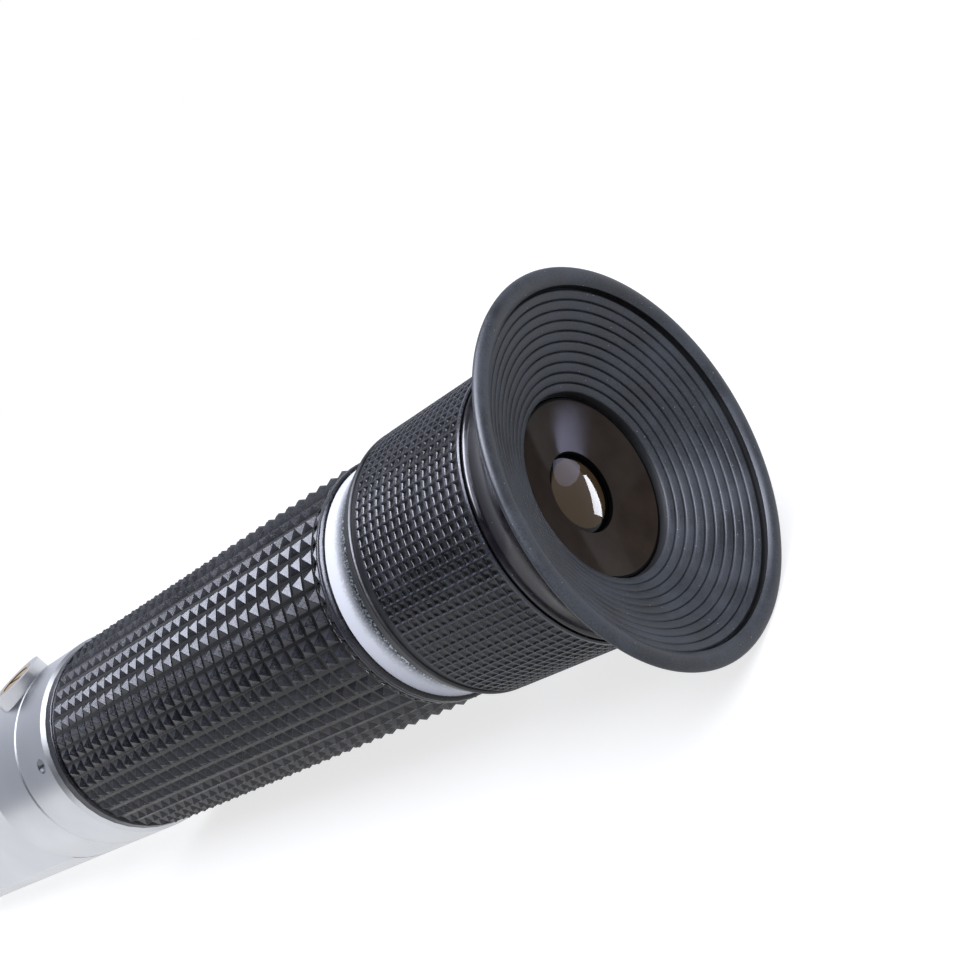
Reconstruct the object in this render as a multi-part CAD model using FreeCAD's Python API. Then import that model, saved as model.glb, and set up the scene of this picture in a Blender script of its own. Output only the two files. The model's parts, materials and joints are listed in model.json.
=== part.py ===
import FreeCAD, Part
import math
import os

from FreeCAD import Vector

# Handheld refractometer. Lengths are in millimetres and angles in degrees.
# The optical axis is the X axis, and +X looks out of the eyepiece towards the eye.
# +Z is the side of the daylight plate. The origin is on the optical axis, at the middle of the
# smooth band of the head, which a clamp can hold. Threads are left plain.

# Fits
seat_gap = 0.02          # radial, between two pieces that are fixed to each other
run_gap = 0.05           # radial, between a shaft or screw and the hole it turns or slides in
slide_gap = 0.1          # beside a flat tongue that slides in its groove
free_gap = 0.3           # between faces that move past each other

# Barrel
bore_r = 11.3
tube_wall = 1.2
tube_engagement = 9.0    # length of tube held inside the collar
grip_len = 66.0
grip_rubber = 1.2        # rubber under the feet of the studs
grip_stud = 0.73         # height of the studs
grip_flutes = 41
flute_floor = 0.4        # flat bottom between two rows of studs
grip_band = 1.2          # smooth band at each end of the grip

# Head
collar_wall = 2.0
band_len = 8.0           # smooth band at the rear of the collar
band_groove = 0.6        # width of the turned line in front of the band
band_groove_depth = 0.3
collar_floor = 2.2       # wall in front of the collar's bore
head_len = 42.0
head_width = 24.0
sole_drop = 13.0         # flat underside, measured down from the optical axis
slope_rise = 11.0        # height of the sloping face above the axis where it meets the collar
nose_drop = 8.6          # top edge of the nose, measured down from the optical axis
nose_corner = 6.0
head_edge = 0.6          # rounding of the head's outer edges
set_screw_r = 1.0
set_screw_sink = 0.3
set_screw_slot = 0.4
set_screw_count = 3
set_screw_from_end = 2.6

# Main prism and its seal
prism_start = 7.0        # from the collar, along the slope
prism_len = 30.0
prism_width = 16.0
prism_front_depth = 4.0
prism_proud = 0.4
seal_gap = 0.5
seal_depth = 1.2
window_r = 6.5
aperture_t = 0.8
aperture_width = 10.0
aperture_height = 8.0

# Daylight plate and its hinge
pin_r = 1.0
knuckle_wall = 1.0
knuckle_width = 9.6
lug_wall = 1.4
lug_t = 2.5
hinge_along = 3.2        # from the collar, along the slope
plate_t = 2.5
plate_width = 18.0
plate_len = 38.0
plate_corner = 4.0
film_gap = 0.3           # between the plate and the prism
lip_width = 8.0
lip_reach = 1.6
leaf_t = 1.0
leaf_len = 7.0
leaf_width = 15.0
plate_screw_r = 0.9
plate_screw_head_r = 1.5
plate_screw_head_t = 0.8
plate_screw_bite = 2.0
plate_screw_spacing = 9.0

# Calibration screw, its bush and the carrier that it raises and lowers
boss_r = 4.4             # stands clear of the turned line of the band
boss_rise = 1.5
bush_r = 3.0
bush_reach = 0.4         # how far the bush stands into the bore
screw_journal_r = 1.4
screw_shank_r = 1.0
screw_head_r = 2.2
screw_head_t = 1.2
screw_slot = 0.6
screw_sink = 0.1         # head below the rim of the bush
clip_r = 2.2
clip_t = 0.5
calibration_pitch = 0.4
calibration_turns = 1.0  # each way from the middle
guide_len = 5.0
guide_clear = 0.9        # between the guide and the light stop of the prism
carrier_width = 13.0
carrier_height = 15.0
carrier_t = 4.4
carrier_window_r = 4.6
tongue_t = 2.0
tongue_reach = 0.8
foot_len = 4.0
foot_t = 2.0
foot_width = 7.0
strip_len = 16.0
strip_t = 0.6
strip_screw_r = 0.8
strip_screw_head_r = 1.3
strip_screw_head_t = 0.7
strip_screw_bite = 1.2
strip_screw_spacing = 4.0

# Objective doublet and its cell
objective_r = 5.5
objective_cell_wall = 1.2
objective_cell_len = 6.0
objective_lip = 0.6
objective_retainer_len = 1.2
crown_t = 2.4
crown_curve = 22.0
flint_t = 1.2
cement_gap = 0.02

# Baffles and scale reticle
baffle_hole_r = 6.5
baffle_t = 1.0
baffle_skirt = 4.0
baffle_skirt_t = 0.8
reticle_r = 9.4
reticle_t = 1.5
reticle_cell_len = 8.0
reticle_lip = 1.0
reticle_retainer_len = 2.0
reticle_clear = 1.0      # to the eyepiece when it is screwed fully in

# Eyepiece mount: flange, tapered shoulder and threaded neck
spigot_wall = 1.25
spigot_len = 8.0
flange_step = 1.1
flange_len = 2.2
shoulder_drop = 0.8
shoulder_len = 2.45
neck_wall = 1.95

# Focusing
travel_in = 1.5
travel_out = 2.5
thread_lead = 4.0        # travel for one turn of the focus ring
guide_pin_r = 0.9
key_depth = 1.0          # how far the guide pin reaches into the keyway of the lens cell

# Focus ring and its rubber sleeve
ring_set_forward = 4.65  # rear edge of the ring ahead of the rear face of the flange
ring_len = 18.3
ring_wall = 1.95
ring_band = 2.4          # plain band at its rear
ring_band_drop = 0.45
ring_bead = 0.3          # height and half width of the bead on that band
web_t = 2.0
sleeve_rubber = 0.62
sleeve_rib = 0.32
sleeve_ribs = 90
sleeve_rib_width = 0.28
sleeve_band = 0.5        # plain rib at the front edge

# Lens cell, lenses and their retainers
cell_lead_in = 12.0      # rear end of the cell behind the flange
cell_wall = 2.0
field_lens_t = 4.2
field_lens_curve = 22.0
field_seat = 0.6         # how much wider the lens seat is than the bore
field_retainer_len = 2.5
cell_neck_step = 0.95
cell_neck_wall = 1.4
eye_lens_t = 4.0
eye_lens_front_curve = 18.0
eye_lens_rear_curve = 30.0
eye_lens_lip = 0.6
retainer_gap = 0.15
retainer_t = 1.6
retainer_hole_r = 4.15
retainer_dish = 1.4
retainer_hole_wall = 0.5
lens_clear = 0.1         # between the eye lens and the edge of the hole in front of it

# Eye cup
rim_r = 20.0
rim_lip_r = 0.95
cup_depth = 8.6
throat_r = 9.45
throat_depth = 5.9
cone_ribs = 10
rib_bulge = 0.15
rib_flank = 0.22         # share of a rib's width that each flank takes
rim_groove = 0.45
flare_hollow = 1.2
cup_base_step = 0.6
cup_bead = 0.4
cup_spigot_len = 1.8
cup_spigot_step = 1.6
cup_groove_depth = 0.5
cup_groove_len = 0.8

# Radii that follow from the walls
tube_r = bore_r + tube_wall
collar_r = tube_r + collar_wall
grip_root_r = tube_r + seat_gap + grip_rubber
grip_tip_r = grip_root_r + grip_stud
flange_r = tube_r + flange_step
cell_r = bore_r - spigot_wall - run_gap
neck_r = cell_r + run_gap + neck_wall
ring_bore_r = neck_r + run_gap
sleeve_seat_r = ring_bore_r + ring_wall
sleeve_root_r = sleeve_seat_r + seat_gap + sleeve_rubber
sleeve_tip_r = sleeve_root_r + sleeve_rib
retainer_r = throat_r - retainer_gap
cell_neck_r = retainer_r - cell_neck_step
eye_lens_r = cell_neck_r - cell_neck_wall - seat_gap
eye_aperture_r = eye_lens_r - eye_lens_lip
cell_bore_r = cell_r - cell_wall
field_lens_r = cell_bore_r + field_seat - seat_gap
knuckle_r = pin_r + run_gap + knuckle_wall
lug_r = pin_r + seat_gap + lug_wall

# Stations along the optical axis
collar_rear = band_len / 2 + head_edge
calibration_x = -band_len / 2 - band_groove - boss_r
bore_front = calibration_x - guide_len / 2 - guide_clear - aperture_t
collar_front = bore_front - collar_floor
tube_front = collar_rear - tube_engagement
nose = collar_front - head_len
flange_rear = collar_rear + grip_len
ring_rear = flange_rear + ring_set_forward
ring_front = ring_rear + ring_len
rim = ring_front + cup_depth
web_rear = ring_front - web_t
shoulder_end = flange_rear + flange_len + shoulder_len
neck_start = shoulder_end + free_gap
neck_front = web_rear - travel_in - 2 * free_gap
cell_shoulder = web_rear - free_gap
cell_front = ring_front + free_gap
cell_rear = flange_rear - cell_lead_in
guide_pin_x = flange_rear - spigot_len / 2
reticle_cell_front = cell_rear - travel_in - reticle_clear
reticle_cell_rear = reticle_cell_front - reticle_cell_len

# Angle between the measuring face and the optical axis
slope_angle = math.degrees(math.atan2(slope_rise + nose_drop, head_len))

# Stations across the optical axis
calibration_travel = calibration_pitch * calibration_turns
boss_top = collar_r + boss_rise
bush_bottom = bore_r - bush_reach
carrier_bottom = -carrier_height / 2 + calibration_travel
carrier_top = carrier_height / 2 + calibration_travel
hinge_above = knuckle_r + free_gap
plate_under = prism_proud + film_gap
plate_top = plate_under + plate_t
plate_start = hinge_along + lug_r + 2 * free_gap

# Joint limits that the record repeats
focus_turn_in = 360 * travel_in / thread_lead
focus_turn_out = 360 * travel_out / thread_lead
plate_opening = 130.0


def profile(start, *steps):
    """Flat face in the XZ plane. A step is (x, z), or (x, z, x, z) for an arc through its first point."""
    edges = []
    here = Vector(start[0], 0, start[1])
    for step in steps + (start,):
        end = Vector(step[-2], 0, step[-1])
        if len(step) == 4:
            edges.append(Part.Arc(here, Vector(step[0], 0, step[1]), end).toShape())
        else:
            edges.append(Part.LineSegment(here, end).toShape())
        here = end
    return Part.Face(Part.Wire(edges))


def turned(start, *steps):
    """Solid of revolution about the optical axis, from an outline of (x, radius) points."""
    return profile(start, *steps).revolve(Vector(), Vector(1, 0, 0), 360)


def tube(x0, x1, inner, outer):
    return turned((x0, inner), (x1, inner), (x1, outer), (x0, outer))


def disc(x0, x1, radius):
    return Part.makeCylinder(radius, x1 - x0, Vector(x0, 0, 0), Vector(1, 0, 0))


def rod(z0, z1, radius, x, y=0.0):
    """Upright cylinder."""
    return Part.makeCylinder(radius, z1 - z0, Vector(x, y, z0), Vector(0, 0, 1))


def block(x0, x1, width, z0, z1):
    """Box that is centred on the XZ plane."""
    return Part.makeBox(x1 - x0, width, z1 - z0, Vector(x0, -width / 2, z0))


def slab(width, start, *steps):
    """Outline in the XZ plane, given a width across it."""
    face = profile(start, *steps)
    face.translate(Vector(0, -width / 2, 0))
    return face.extrude(Vector(0, width, 0))


def on_slope(along, above):
    """Point of the XZ plane, from its distance down the sloping face and its height above it."""
    lean = math.radians(slope_angle)
    x = collar_front - along * math.cos(lean) - above * math.sin(lean)
    z = slope_rise - along * math.sin(lean) + above * math.cos(lean)
    return (x, z)


def slope_height(x):
    """Height of the sloping face above the optical axis."""
    return slope_rise - (collar_front - x) * math.tan(math.radians(slope_angle))


def slope_block(along0, along1, width, above0, above1):
    """Box that lies square to the sloping face."""
    corners = ((along0, above0), (along1, above0), (along1, above1), (along0, above1))
    return slab(width, *[on_slope(*corner) for corner in corners])


def slope_rod(along, y, above0, above1, radius):
    """Cylinder that stands square to the sloping face."""
    foot = on_slope(along, above0)
    top = on_slope(along, above1)
    base = Vector(foot[0], y, foot[1])
    return Part.makeCylinder(radius, above1 - above0, base, Vector(top[0], y, top[1]) - base)


def cross_rod(along, above, radius, width):
    """Cylinder across the head, parallel to the sloping face."""
    x, z = on_slope(along, above)
    return Part.makeCylinder(radius, width, Vector(x, -width / 2, z), Vector(0, 1, 0))


def sag(curve, radius):
    """Depth of a spherical surface at this distance from its middle."""
    return curve - math.sqrt(curve ** 2 - radius ** 2)


def around(shape, count, first=0.0):
    """Copies of a shape, spaced evenly about the optical axis."""
    copies = []
    for i in range(count):
        copy = shape.copy()
        copy.rotate(Vector(), Vector(1, 0, 0), first + 360 * i / count)
        copies.append(copy)
    return copies


def ribbed_sleeve(x0, x1, inner, root, tip, count, floor_width, top_width):
    """Sleeve whose outside has straight ribs along the axis, cut square or to a ridge."""
    pitch = 2 * math.pi / count
    half_foot = pitch / 2 - floor_width / 2 / root
    half_top = top_width / 2 / tip
    points = []
    for i in range(count):
        middle = i * pitch
        for radius, angle in ((root, -half_foot), (tip, -half_top), (tip, half_top), (root, half_foot)):
            turn = middle + angle
            points.append(Vector(x0, radius * math.sin(turn), radius * math.cos(turn)))
    points.append(points[0])
    ribs = Part.Face(Part.makePolygon(points)).extrude(Vector(x1 - x0, 0, 0))
    return ribs.cut(disc(x0, x1, inner))


def body_tube():
    pipe = tube(tube_front, flange_rear, bore_r, tube_r)
    return pipe.cut(rod(-tube_r - 1, 0, guide_pin_r + seat_gap, guide_pin_x))


def rubber_grip():
    inner = tube_r + seat_gap
    middle = ribbed_sleeve(collar_rear + grip_band, flange_rear - grip_band, inner, grip_root_r,
                           grip_tip_r, grip_flutes, flute_floor, flute_floor / 2)
    crown = (grip_root_r + grip_tip_r) / 2
    head_end = turned((collar_rear, inner), (collar_rear, crown), (collar_rear + grip_band, crown),
                      (collar_rear + grip_band, inner))
    eye_end = turned((flange_rear, inner), (flange_rear, grip_root_r), (flange_rear - grip_band, crown),
                     (flange_rear - grip_band, inner))
    return middle.fuse([head_end, eye_end]).removeSplitter()


def eyepiece_mount():
    """Screws into the rear of the tube. Its flange and shoulder are the silver ring."""
    inner = cell_r + run_gap
    flange_front = flange_rear + flange_len
    shoulder_mid = (flange_front + 0.55 * shoulder_len, flange_r - 0.35 * shoulder_drop)
    ring = turned((flange_rear - spigot_len, inner), (neck_front, inner), (neck_front, neck_r),
                  (neck_start, neck_r), (shoulder_end, flange_r - shoulder_drop),
                  (*shoulder_mid, flange_front, flange_r), (flange_rear, flange_r),
                  (flange_rear, bore_r - seat_gap), (flange_rear - spigot_len, bore_r - seat_gap))
    return ring.cut(rod(-tube_r, 0, guide_pin_r + seat_gap, guide_pin_x))


def guide_pin():
    """Keeps the lens cell from turning while the focus ring moves it."""
    return rod(slide_gap - tube_r, key_depth - cell_r, guide_pin_r, guide_pin_x)


def set_screw_holes(radius, inner, outer):
    drill = rod(inner, outer, radius, collar_rear - set_screw_from_end)
    return around(drill, set_screw_count, 180 / set_screw_count)


def prism_body():
    """Measuring face on top, upright exit face towards the eyepiece."""
    top_rear = on_slope(prism_start, prism_proud)
    front_low = on_slope(prism_start + prism_len, -prism_front_depth)
    return slab(prism_width, top_rear, on_slope(prism_start + prism_len, prism_proud), front_low,
                (top_rear[0], front_low[1]))


def prism_pocket():
    """Room for the prism and its seal, open at the sloping face."""
    rear_x = on_slope(prism_start, prism_proud)[0] + seal_gap
    front = prism_start + prism_len + seal_gap
    floor = on_slope(prism_start + prism_len, -prism_front_depth)[1]
    lean = math.tan(math.radians(slope_angle))
    return slab(prism_width + 2 * seal_gap, (rear_x, slope_height(rear_x) + prism_proud),
                on_slope(front, prism_proud), on_slope(front, -prism_front_depth + seal_gap * lean),
                (rear_x, floor))


def hinge_lugs():
    spread = knuckle_width + 2 * free_gap
    ear = slope_block(hinge_along - lug_r, hinge_along + lug_r, spread + 2 * lug_t, -1.0, hinge_above)
    ear = ear.fuse(cross_rod(hinge_along, hinge_above, lug_r, spread + 2 * lug_t))
    gap = slope_block(hinge_along - 2 * lug_r, hinge_along + 2 * lug_r, spread, 0, hinge_above + 2 * lug_r)
    return ear.cut(gap)


def on_rim(point):
    """Whether a point lies in the plane of the sloping face."""
    return abs(point.z - slope_height(point.x)) < 1e-6


def prism_head():
    """Die-cast head: collar, sloping block, hinge lugs and the boss for the calibration screw."""
    nose_block = slab(head_width, (collar_front, -sole_drop), (nose, -sole_drop),
                      (nose, slope_height(nose)), (collar_front, slope_rise))
    corners = [e for e in nose_block.Edges if len(e.Vertexes) == 2
               and all(abs(v.X - nose) < 1e-6 for v in e.Vertexes)
               and abs(e.Vertexes[0].Y - e.Vertexes[1].Y) < 1e-6]
    nose_block = nose_block.makeFillet(nose_corner, corners)
    nose_block = nose_block.common(disc(nose, collar_front, collar_r))
    rim_edges = [e for e in nose_block.Edges if all(on_rim(v.Point) for v in e.Vertexes)
                 and on_rim(e.valueAt((e.FirstParameter + e.LastParameter) / 2))
                 and e.BoundBox.XMin < collar_front - 1]
    nose_block = nose_block.makeFillet(head_edge, rim_edges)
    collar = turned((collar_front, 0), (collar_front, collar_r - head_edge),
                    (collar_front + head_edge, collar_r), (-band_len / 2 - band_groove, collar_r),
                    (-band_len / 2 - band_groove / 2, collar_r - band_groove_depth),
                    (-band_len / 2, collar_r), (band_len / 2, collar_r),
                    (collar_rear, collar_r - head_edge), (collar_rear, 0))
    boss = rod(bore_r, boss_top, boss_r, calibration_x)
    shell = collar.fuse([nose_block, boss, hinge_lugs()]).removeSplitter()
    cuts = [disc(bore_front, tube_front, bore_r),
            disc(tube_front, collar_rear, tube_r + seat_gap),
            disc(on_slope(prism_start, 0)[0], bore_front, window_r),
            prism_pocket(),
            rod(bush_bottom, boss_top, bush_r + seat_gap, calibration_x),
            cross_rod(hinge_along, hinge_above, pin_r + seat_gap, head_width)]
    cuts += set_screw_holes(set_screw_r + seat_gap, tube_r - 1, collar_r + 1)
    return shell.cut(cuts)


def head_set_screws():
    top = collar_r - set_screw_sink
    x = collar_rear - set_screw_from_end
    screw = rod(tube_r + seat_gap, top, set_screw_r, x)
    slot = block(x - set_screw_r, x + set_screw_r, set_screw_slot, top - set_screw_slot, top)
    return Part.makeCompound(around(screw.cut(slot), set_screw_count, 180 / set_screw_count))


def main_prism():
    return prism_body()


def prism_seal():
    """Bead of black cement between the prism and the mouth of its pocket."""
    mouth = slope_block(prism_start - 3, prism_start + prism_len + 3, prism_width + 4, -seal_depth, 0)
    return prism_pocket().common(mouth).cut(prism_body())


def prism_aperture():
    plate = disc(bore_front, bore_front + aperture_t, bore_r - seat_gap)
    return plate.cut(block(bore_front, bore_front + aperture_t, aperture_width,
                           -aperture_height / 2, aperture_height / 2))


def hinge_pin():
    return cross_rod(hinge_along, hinge_above, pin_r, knuckle_width + 2 * free_gap + 2 * lug_t)


def plate_screw_places():
    along = plate_start + leaf_len / 2
    return [(along, side * plate_screw_spacing / 2) for side in (-1, 1)]


def daylight_plate():
    """Clear plate with rounded front corners and a short lip for the finger."""
    end = plate_start + plate_len
    plate = slope_block(plate_start, end, plate_width, plate_under, plate_top)
    end_x, end_z = on_slope(end, plate_under)
    corners = [e for e in plate.Edges
               if abs(e.Length - plate_t) < 1e-6 and e.CenterOfMass.distanceToPoint(
                   Vector(end_x, math.copysign(plate_width / 2, e.CenterOfMass.y), end_z)) < plate_t]
    plate = plate.makeFillet(plate_corner, corners)
    lip = slope_block(end - 1, end + lip_reach, lip_width, plate_top - plate_t / 2, plate_top)
    plate = plate.fuse(lip).removeSplitter()
    for along, y in plate_screw_places():
        plate = plate.cut(slope_rod(along, y, plate_top - plate_screw_bite, plate_top + 1,
                                    plate_screw_r + seat_gap))
    return plate


def plate_hinge():
    """Leaf that is screwed on the daylight plate, with the knuckle that turns on the hinge pin."""
    knuckle = cross_rod(hinge_along, hinge_above, knuckle_r, knuckle_width)
    arm = slope_block(hinge_along, plate_start, knuckle_width, hinge_above, plate_top + leaf_t)
    leaf = slope_block(plate_start, plate_start + leaf_len, leaf_width, plate_top, plate_top + leaf_t)
    hinge = knuckle.fuse([arm, leaf]).removeSplitter()
    hinge = hinge.cut(cross_rod(hinge_along, hinge_above, pin_r + run_gap, knuckle_width))
    for along, y in plate_screw_places():
        hinge = hinge.cut(slope_rod(along, y, plate_top, plate_top + leaf_t, plate_screw_r + seat_gap))
    return hinge


def plate_screws():
    screws = []
    seat = plate_top + leaf_t
    for along, y in plate_screw_places():
        shank = slope_rod(along, y, plate_top - plate_screw_bite, seat, plate_screw_r)
        head = slope_rod(along, y, seat, seat + plate_screw_head_t, plate_screw_head_r)
        slot = slope_block(along - plate_screw_head_r, along + plate_screw_head_r, set_screw_slot,
                           seat + plate_screw_head_t / 2, seat + plate_screw_head_t)
        slot.translate(Vector(0, y, 0))
        screws.append(shank.fuse(head).removeSplitter().cut(slot))
    return Part.makeCompound(screws)


def head_floor():
    """Height of the face in the bush that the head of the calibration screw runs above."""
    return boss_top - screw_sink - screw_head_t - free_gap


def calibration_bush():
    bush = rod(bush_bottom, boss_top, bush_r, calibration_x)
    bush = bush.cut(rod(head_floor(), boss_top, screw_head_r + slide_gap, calibration_x))
    return bush.cut(rod(bush_bottom, head_floor(), screw_journal_r + run_gap, calibration_x))


def shank_end():
    return carrier_window_r + calibration_travel + 2 * free_gap + calibration_travel


def calibration_screw():
    """Held lengthwise by its head and its clip, so that turning it moves only the carrier."""
    head_top = boss_top - screw_sink
    groove_top = bush_bottom - free_gap
    head = rod(head_top - screw_head_t, head_top, screw_head_r, calibration_x)
    journal = rod(groove_top, head_top - screw_head_t, screw_journal_r, calibration_x)
    shank = rod(shank_end(), groove_top, screw_shank_r, calibration_x)
    slot = block(calibration_x - screw_head_r, calibration_x + screw_head_r, screw_slot,
                 head_top - screw_head_t / 2, head_top)
    return head.fuse([journal, shank]).removeSplitter().cut(slot)


def calibration_clip():
    top = bush_bottom - free_gap
    ring = rod(top - clip_t, top, clip_r, calibration_x)
    return ring.cut(rod(top - clip_t, top, screw_shank_r + seat_gap, calibration_x))


def carrier_guide():
    """Ring in the bore, open at the top, whose grooves let the carrier slide up and down."""
    half = guide_len / 2
    ring = disc(calibration_x - half, calibration_x + half, bore_r - seat_gap)
    floor = carrier_bottom - calibration_travel - 2 * slide_gap
    channel = block(calibration_x - half, calibration_x + half, carrier_width + 2 * slide_gap,
                    floor, bore_r)
    groove = block(calibration_x - tongue_t / 2 - slide_gap, calibration_x + tongue_t / 2 + slide_gap,
                   carrier_width + 2 * tongue_reach + 2 * slide_gap, floor, bore_r)
    return ring.cut([channel, groove])


def strip_screw_places():
    first = calibration_x + guide_len / 2 + foot_len / 2
    last = first + strip_len - foot_len
    return [(x, side * strip_screw_spacing / 2) for x in (first, last) for side in (-1, 1)]


def strip_screw_hole(x, y):
    return rod(carrier_bottom, carrier_bottom + strip_screw_bite, strip_screw_r + seat_gap, x, y)


def objective_carrier():
    half = carrier_t / 2
    body = block(calibration_x - half, calibration_x + half, carrier_width, carrier_bottom, carrier_top)
    tongues = block(calibration_x - tongue_t / 2, calibration_x + tongue_t / 2,
                    carrier_width + 2 * tongue_reach, carrier_bottom, carrier_top)
    foot_end = calibration_x + guide_len / 2 + foot_len
    foot = block(calibration_x, foot_end, foot_width, carrier_bottom, carrier_bottom + foot_t)
    carrier = body.fuse([tongues, foot]).removeSplitter()
    carrier = carrier.cut(disc(calibration_x - half, calibration_x + half, carrier_window_r))
    thread = rod(carrier_window_r + 0.4, carrier_top, screw_shank_r + run_gap, calibration_x)
    carrier = carrier.cut(thread)
    for x, y in strip_screw_places()[:2]:
        carrier = carrier.cut(strip_screw_hole(x, y))
    return carrier


def bimetal_strip():
    """Bends with temperature and so shifts the objective."""
    x0 = calibration_x + guide_len / 2
    strip = block(x0, x0 + strip_len, foot_width, carrier_bottom - strip_t, carrier_bottom)
    for x, y in strip_screw_places():
        strip = strip.cut(rod(carrier_bottom - strip_t, carrier_bottom, strip_screw_r + seat_gap, x, y))
    return strip


def bimetal_screws():
    screws = []
    for x, y in strip_screw_places():
        low = carrier_bottom - strip_t
        shank = rod(low, carrier_bottom + strip_screw_bite, strip_screw_r, x, y)
        head = rod(low - strip_screw_head_t, low, strip_screw_head_r, x, y)
        screws.append(shank.fuse(head).removeSplitter())
    return Part.makeCompound(screws)


def objective_cell_rear():
    last = strip_screw_places()[-1][0]
    return last - objective_cell_len / 2


def objective_cell():
    x0 = objective_cell_rear()
    x1 = x0 + objective_cell_len
    seat_r = objective_r + seat_gap
    ring = disc(x0, x1, objective_r + objective_cell_wall)
    foot = block(x0, x1, foot_width, carrier_bottom, 0)
    cell = ring.fuse(foot).removeSplitter()
    cell = cell.cut([disc(x0, x1, objective_r - objective_lip), disc(x0 + objective_lip, x1, seat_r)])
    for x, y in strip_screw_places()[2:]:
        cell = cell.cut(strip_screw_hole(x, y))
    return cell


def objective_flint():
    """Flat on the side of the prism and hollow towards the crown lens."""
    x0 = objective_cell_rear() + objective_lip
    x1 = x0 + flint_t + sag(crown_curve, objective_r)
    return turned((x0, 0), (x0, objective_r), (x1, objective_r),
                  (x1 - sag(crown_curve, objective_r) + sag(crown_curve, objective_r / 2), objective_r / 2,
                   x0 + flint_t, 0))


def crown_vertex():
    return objective_cell_rear() + objective_lip + flint_t + cement_gap


def objective_crown():
    x0 = crown_vertex()
    rim_x = x0 + sag(crown_curve, objective_r)
    far_rim = x0 + crown_t
    far = far_rim + sag(2 * crown_curve, objective_r)
    return turned((x0, 0), (x0 + sag(crown_curve, objective_r / 2), objective_r / 2, rim_x, objective_r),
                  (far_rim, objective_r),
                  (far - sag(2 * crown_curve, objective_r / 2), objective_r / 2, far, 0))


def objective_retainer():
    far = crown_vertex() + crown_t + sag(2 * crown_curve, objective_r)
    x0 = far - sag(2 * crown_curve, objective_r - objective_lip) + seat_gap
    return tube(x0, x0 + objective_retainer_len, objective_r - objective_lip, objective_r)


def baffle(x):
    """Blackened stop ring that is pushed into the tube."""
    outer = bore_r - seat_gap
    return turned((x, baffle_hole_r), (x + baffle_t, baffle_hole_r), (x + baffle_t, outer - baffle_skirt_t),
                  (x + baffle_skirt, outer - baffle_skirt_t), (x + baffle_skirt, outer), (x, outer))


def baffle_place(share):
    start = objective_cell_rear() + objective_cell_len
    return start + share * (reticle_cell_rear - start)


def front_baffle():
    return baffle(baffle_place(1 / 3))


def rear_baffle():
    return baffle(baffle_place(2 / 3))


def reticle_cell():
    x0 = reticle_cell_rear
    x1 = reticle_cell_front
    inner = reticle_r - reticle_lip
    return turned((x0, inner), (x0 + reticle_lip, inner), (x0 + reticle_lip, reticle_r + seat_gap),
                  (x1, reticle_r + seat_gap), (x1, bore_r - seat_gap), (x0, bore_r - seat_gap))


def scale_reticle():
    x0 = reticle_cell_rear + reticle_lip
    return disc(x0, x0 + reticle_t, reticle_r)


def reticle_retainer():
    x0 = reticle_cell_rear + reticle_lip + reticle_t
    return tube(x0, x0 + reticle_retainer_len, reticle_r - reticle_lip, reticle_r)


def eye_lens_front():
    """Front vertex of the eye lens, which domes a little into the hole of its retainer."""
    hole_rear = rim - hole_front_depth() - retainer_hole_wall
    return hole_rear + sag(eye_lens_front_curve, retainer_hole_r) - lens_clear


def hole_front_depth():
    return cup_depth - (free_gap + retainer_t - retainer_dish)


def eye_lens_seat():
    """Station of the shoulder that the rear of the eye lens rests on."""
    rear_vertex = eye_lens_front() - eye_lens_t
    return rear_vertex + sag(eye_lens_rear_curve, eye_aperture_r) - seat_gap


def field_seat_front():
    return cell_rear + field_retainer_len + field_lens_t - sag(field_lens_curve, cell_bore_r)


def lens_cell():
    """Slides in the eyepiece mount without turning. The focus ring's web holds it at its neck."""
    lens_seat_r = eye_lens_r + seat_gap
    seat_r = field_lens_r + seat_gap
    body = turned((cell_rear, seat_r), (field_seat_front(), seat_r), (field_seat_front(), cell_bore_r),
                  (eye_lens_seat() - eye_lens_lip, cell_bore_r),
                  (eye_lens_seat() - eye_lens_lip, eye_aperture_r), (eye_lens_seat(), eye_aperture_r),
                  (eye_lens_seat(), lens_seat_r), (cell_front, lens_seat_r), (cell_front, cell_neck_r),
                  (cell_shoulder, cell_neck_r), (cell_shoulder, cell_r), (cell_rear, cell_r))
    half = guide_pin_r + run_gap
    slot_rear = guide_pin_x - travel_out - slide_gap
    slot_front = guide_pin_x + travel_in + slide_gap
    floor = key_depth + slide_gap - cell_r
    keyway = block(slot_rear, slot_front, 2 * half, -cell_r, floor)
    ends = [rod(-cell_r, floor, half, x) for x in (slot_rear, slot_front)]
    return body.cut([keyway] + ends)


def eye_lens():
    x1 = eye_lens_front()
    x0 = x1 - eye_lens_t
    half = eye_lens_r / 2
    return turned((x0, 0), (x0 + sag(eye_lens_rear_curve, half), half,
                            x0 + sag(eye_lens_rear_curve, eye_lens_r), eye_lens_r),
                  (x1 - sag(eye_lens_front_curve, eye_lens_r), eye_lens_r),
                  (x1 - sag(eye_lens_front_curve, half), half, x1, 0))


def eye_lens_retainer():
    """Dished plate in front of the eye lens, screwed into the neck of the cell."""
    hole_front = cell_front + retainer_t - retainer_dish
    hole_rear = hole_front - retainer_hole_wall
    press_r = eye_aperture_r
    press_x = eye_lens_front() - sag(eye_lens_front_curve, press_r) + seat_gap
    return turned((hole_rear, retainer_hole_r), (hole_front, retainer_hole_r),
                  (cell_front + retainer_t, retainer_r - 0.3), (cell_front + retainer_t, retainer_r),
                  (cell_front, retainer_r), (cell_front, eye_lens_r), (press_x, eye_lens_r),
                  (press_x, press_r), (hole_rear, press_r))


def field_lens():
    """Flat towards the reticle, domed towards the eye lens."""
    x0 = cell_rear + field_retainer_len
    x1 = x0 + field_lens_t
    half = field_lens_r / 2
    return turned((x0, 0), (x0, field_lens_r), (x1 - sag(field_lens_curve, field_lens_r), field_lens_r),
                  (x1 - sag(field_lens_curve, half), half, x1, 0))


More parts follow.
